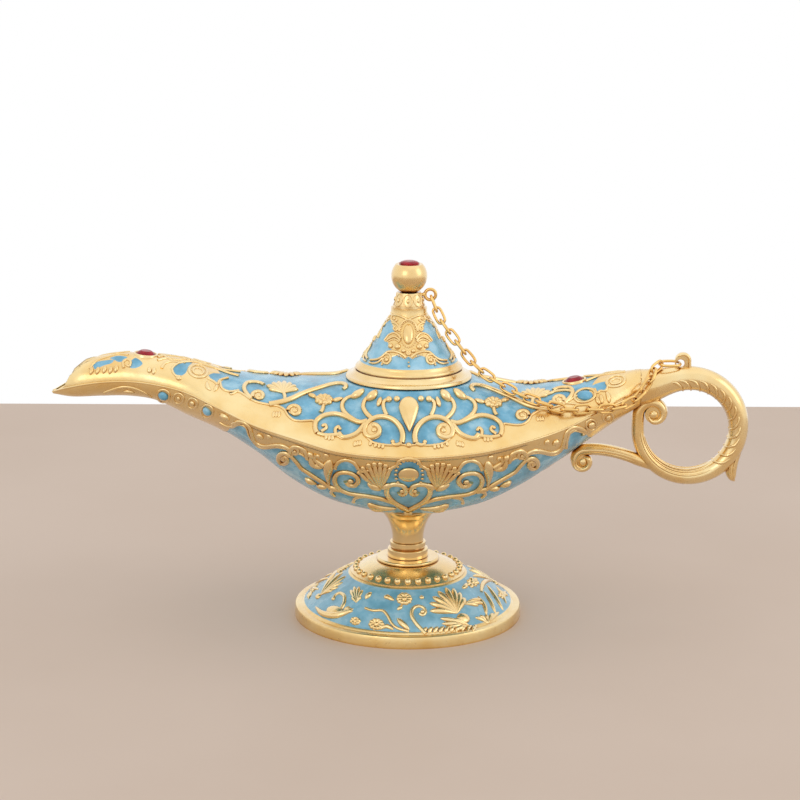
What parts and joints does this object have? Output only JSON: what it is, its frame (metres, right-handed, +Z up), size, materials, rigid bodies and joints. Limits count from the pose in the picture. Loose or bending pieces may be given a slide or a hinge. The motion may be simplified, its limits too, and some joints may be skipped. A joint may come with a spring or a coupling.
{
  "type": "genie lamp",
  "caption": "Enamelled and gilt oil lamp in the old boat shape: long spout, curled handle, round foot and a pointed lift-off lid held to the handle by a chain.",
  "frame": {"origin": "centre of the lamp's outline in plan, on the table under the foot", "axes": "+X towards the handle (the spout points along -X), +Y away from the camera, +Z up along the lamp's axis"},
  "size_m": [0.2107, 0.0696, 0.1107],
  "materials": {
    "blue_enamel": "gloss enamel with gilt relief",
    "gilt_brass": "satin gilt",
    "steel": "plain",
    "red_stone": "faceted, polished"
  },
  "bodies": {
    "lamp": {"foot": "blue_enamel", "beaded_saucer": "gilt_brass", "stem_ring": "gilt_brass", "stem_knob": "gilt_brass", "stem_cup": "gilt_brass", "tie_bolt": "steel", "bolt_washer": "steel", "bolt_nut": "steel", "lower_shell": "blue_enamel", "upper_shell": "blue_enamel", "neck_collar": "gilt_brass", "spout_gem": "red_stone", "tail_gem": "red_stone", "handle": "gilt_brass"},
    "lid": {"lid_cone": "blue_enamel", "lid_register": "gilt_brass", "finial_cup": "gilt_brass", "finial_ball": "gilt_brass", "finial_gem": "red_stone", "finial_bolt": "steel", "lid_eye": "gilt_brass"},
    "ear_ring": {"ear_ring": "gilt_brass"},
    "chain_link_01": {"chain_link_01": "gilt_brass"},
    "chain_link_02": {"chain_link_02": "gilt_brass"},
    "chain_link_03": {"chain_link_03": "gilt_brass"},
    "chain_link_04": {"chain_link_04": "gilt_brass"},
    "chain_link_05": {"chain_link_05": "gilt_brass"},
    "chain_link_06": {"chain_link_06": "gilt_brass"},
    "chain_link_07": {"chain_link_07": "gilt_brass"},
    "chain_link_08": {"chain_link_08": "gilt_brass"},
    "chain_link_09": {"chain_link_09": "gilt_brass"},
    "chain_link_10": {"chain_link_10": "gilt_brass"},
    "chain_link_11": {"chain_link_11": "gilt_brass"},
    "chain_link_12": {"chain_link_12": "gilt_brass"},
    "chain_link_13": {"chain_link_13": "gilt_brass"},
    "chain_link_14": {"chain_link_14": "gilt_brass"},
    "chain_link_15": {"chain_link_15": "gilt_brass"},
    "chain_link_16": {"chain_link_16": "gilt_brass"},
    "chain_link_17": {"chain_link_17": "gilt_brass"},
    "chain_link_18": {"chain_link_18": "gilt_brass"},
    "chain_link_19": {"chain_link_19": "gilt_brass"},
    "chain_link_20": {"chain_link_20": "gilt_brass"},
    "chain_link_21": {"chain_link_21": "gilt_brass"},
    "chain_link_22": {"chain_link_22": "gilt_brass"},
    "chain_link_23": {"chain_link_23": "gilt_brass"},
    "chain_link_24": {"chain_link_24": "gilt_brass"}
  },
  "joints": [
    {"name": "lid_lift", "type": "slide", "parent": "lamp", "child": "lid", "axis": [0, 0, 1], "range_m": [0, 0.026]},
    {"name": "ring_swing", "type": "hinge", "parent": "lamp", "child": "ear_ring", "pos_m": [0.0841, -0.00073, 0.07911], "axis": [0, 1, 0], "range_deg": [-2, 49.1]},
    {"name": "link_01_swing", "type": "hinge", "parent": "lamp", "child": "chain_link_01", "pos_m": [0.08417, -0.00276, 0.07911], "axis": [0, 1, 0], "range_deg": [-2, 48.6]},
    {"name": "link_02_swing", "type": "hinge", "parent": "lamp", "child": "chain_link_02", "pos_m": [0.0846, -0.00523, 0.07905], "axis": [0, 1, 0], "range_deg": [-2, 46.4]},
    {"name": "link_03_swing", "type": "hinge", "parent": "lamp", "child": "chain_link_03", "pos_m": [0.08576, -0.00719, 0.07913], "axis": [0, 1, 0], "range_deg": [-2, 42.3]},
    {"name": "link_04_swing", "type": "hinge", "parent": "lamp", "child": "chain_link_04", "pos_m": [0.08772, -0.00887, 0.07955], "axis": [0, 1, 0], "range_deg": [-2, 37.6]},
    {"name": "link_05_swing", "type": "hinge", "parent": "lamp", "child": "chain_link_05", "pos_m": [0.09063, -0.01065, 0.08029], "axis": [0, 1, 0], "range_deg": [-2, 33.1]},
    {"name": "link_06_swing", "type": "hinge", "parent": "lamp", "child": "chain_link_06", "pos_m": [0.09484, -0.01233, 0.08132], "axis": [0, 1, 0], "range_deg": [-2, 28.9]},
    {"name": "link_07_swing", "type": "hinge", "parent": "lamp", "child": "chain_link_07", "pos_m": [0.10096, -0.01378, 0.08263], "axis": [0, 1, 0], "range_deg": [-2, 24.8]},
    {"name": "link_08_swing", "type": "hinge", "parent": "lamp", "child": "chain_link_08", "pos_m": [0.11024, -0.01492, 0.08432], "axis": [0, 1, 0], "range_deg": [-2, 20.8]},
    {"name": "link_09_swing", "type": "hinge", "parent": "lamp", "child": "chain_link_09", "pos_m": [0.12564, -0.0157, 0.08673], "axis": [0, 1, 0], "range_deg": [-2, 16.8]},
    {"name": "link_10_swing", "type": "hinge", "parent": "lamp", "child": "chain_link_10", "pos_m": [0.15631, -0.01608, 0.09116], "axis": [0, 1, 0], "range_deg": [-2, 12.5]},
    {"name": "link_11_swing", "type": "hinge", "parent": "lamp", "child": "chain_link_11", "pos_m": [0.24367, -0.01592, 0.10295], "axis": [0, 1, 0], "range_deg": [-2, 7.9]},
    {"name": "link_12_swing", "type": "hinge", "parent": "lid", "child": "chain_link_12", "pos_m": [-0.06201, -0.0152, 0.11734], "axis": [0, 1, 0], "range_deg": [-2, 5]},
    {"name": "link_13_swing", "type": "hinge", "parent": "lid", "child": "chain_link_13", "pos_m": [0.01633, -0.01403, 0.07967], "axis": [0, 1, 0], "range_deg": [-2, 15.1]},
    {"name": "link_14_swing", "type": "hinge", "parent": "lid", "child": "chain_link_14", "pos_m": [0.02284, -0.01266, 0.07644], "axis": [0, 1, 0], "range_deg": [-2, 21.4]},
    {"name": "link_15_swing", "type": "hinge", "parent": "lid", "child": "chain_link_15", "pos_m": [0.02471, -0.01135, 0.07557], "axis": [0, 1, 0], "range_deg": [-2, 25.6]},
    {"name": "link_16_swing", "type": "hinge", "parent": "lid", "child": "chain_link_16", "pos_m": [0.02519, -0.01008, 0.07542], "axis": [0, 1, 0], "range_deg": [-2, 27.8]},
    {"name": "link_17_swing", "type": "hinge", "parent": "lid", "child": "chain_link_17", "pos_m": [0.02478, -0.00882, 0.07537], "axis": [0, 1, 0], "range_deg": [-2, 23]},
    {"name": "link_18_swing", "type": "hinge", "parent": "lid", "child": "chain_link_18", "pos_m": [0.02523, -0.00759, 0.07296], "axis": [0, 1, 0], "range_deg": [-2, 13.2]},
    {"name": "link_19_swing", "type": "hinge", "parent": "lid", "child": "chain_link_19", "pos_m": [0.02976, -0.00642, 0.06307], "axis": [0, 1, 0], "range_deg": [-2, 7]},
    {"name": "link_20_swing", "type": "hinge", "parent": "lid", "child": "chain_link_20", "pos_m": [0.05342, -0.00526, 0.01714], "axis": [0, 1, 0], "range_deg": [-2, 3.5]},
    {"name": "link_21_swing", "type": "hinge", "parent": "lid", "child": "chain_link_21", "pos_m": [-0.03129, -0.00398, 0.17771], "axis": [0, -1, 0], "range_deg": [-2, 3.2]},
    {"name": "link_22_swing", "type": "hinge", "parent": "lid", "child": "chain_link_22", "pos_m": [-0.0013, -0.00257, 0.11968], "axis": [0, -1, 0], "range_deg": [-2, 5.4]},
    {"name": "link_23_swing", "type": "hinge", "parent": "lid", "child": "chain_link_23", "pos_m": [0.00789, -0.00133, 0.1014], "axis": [0, -1, 0], "range_deg": [-2, 12.1]},
    {"name": "link_24_swing", "type": "hinge", "parent": "lid", "child": "chain_link_24", "pos_m": [0.00903, -0.0004, 0.09892], "axis": [0, -1, 0], "range_deg": [-2, 19.3]}
  ],
  "couplings": [
    {"joint": "ring_swing", "follows": "lid_lift", "rad_per_m": 31.588},
    {"joint": "link_01_swing", "follows": "lid_lift", "rad_per_m": 31.262},
    {"joint": "link_02_swing", "follows": "lid_lift", "rad_per_m": 29.821},
    {"joint": "link_03_swing", "follows": "lid_lift", "rad_per_m": 27.031},
    {"joint": "link_04_swing", "follows": "lid_lift", "rad_per_m": 23.926},
    {"joint": "link_05_swing", "follows": "lid_lift", "rad_per_m": 20.899},
    {"joint": "link_06_swing", "follows": "lid_lift", "rad_per_m": 18.025},
    {"joint": "link_07_swing", "follows": "lid_lift", "rad_per_m": 15.278},
    {"joint": "link_08_swing", "follows": "lid_lift", "rad_per_m": 12.601},
    {"joint": "link_09_swing", "follows": "lid_lift", "rad_per_m": 9.9035},
    {"joint": "link_10_swing", "follows": "lid_lift", "rad_per_m": 7.0472},
    {"joint": "link_11_swing", "follows": "lid_lift", "rad_per_m": 3.9284},
    {"joint": "link_12_swing", "follows": "lid_lift", "rad_per_m": 2.0057},
    {"joint": "link_13_swing", "follows": "lid_lift", "rad_per_m": 8.7635},
    {"joint": "link_14_swing", "follows": "lid_lift", "rad_per_m": 13.008},
    {"joint": "link_15_swing", "follows": "lid_lift", "rad_per_m": 15.864},
    {"joint": "link_16_swing", "follows": "lid_lift", "rad_per_m": 17.348},
    {"joint": "link_17_swing", "follows": "lid_lift", "rad_per_m": 14.073},
    {"joint": "link_18_swing", "follows": "lid_lift", "rad_per_m": 7.5319},
    {"joint": "link_19_swing", "follows": "lid_lift", "rad_per_m": 3.3259},
    {"joint": "link_20_swing", "follows": "lid_lift", "rad_per_m": 1.0263},
    {"joint": "link_21_swing", "follows": "lid_lift", "rad_per_m": 0.77919},
    {"joint": "link_22_swing", "follows": "lid_lift", "rad_per_m": 2.262},
    {"joint": "link_23_swing", "follows": "lid_lift", "rad_per_m": 6.7634},
    {"joint": "link_24_swing", "follows": "lid_lift", "rad_per_m": 11.585}
  ]
}
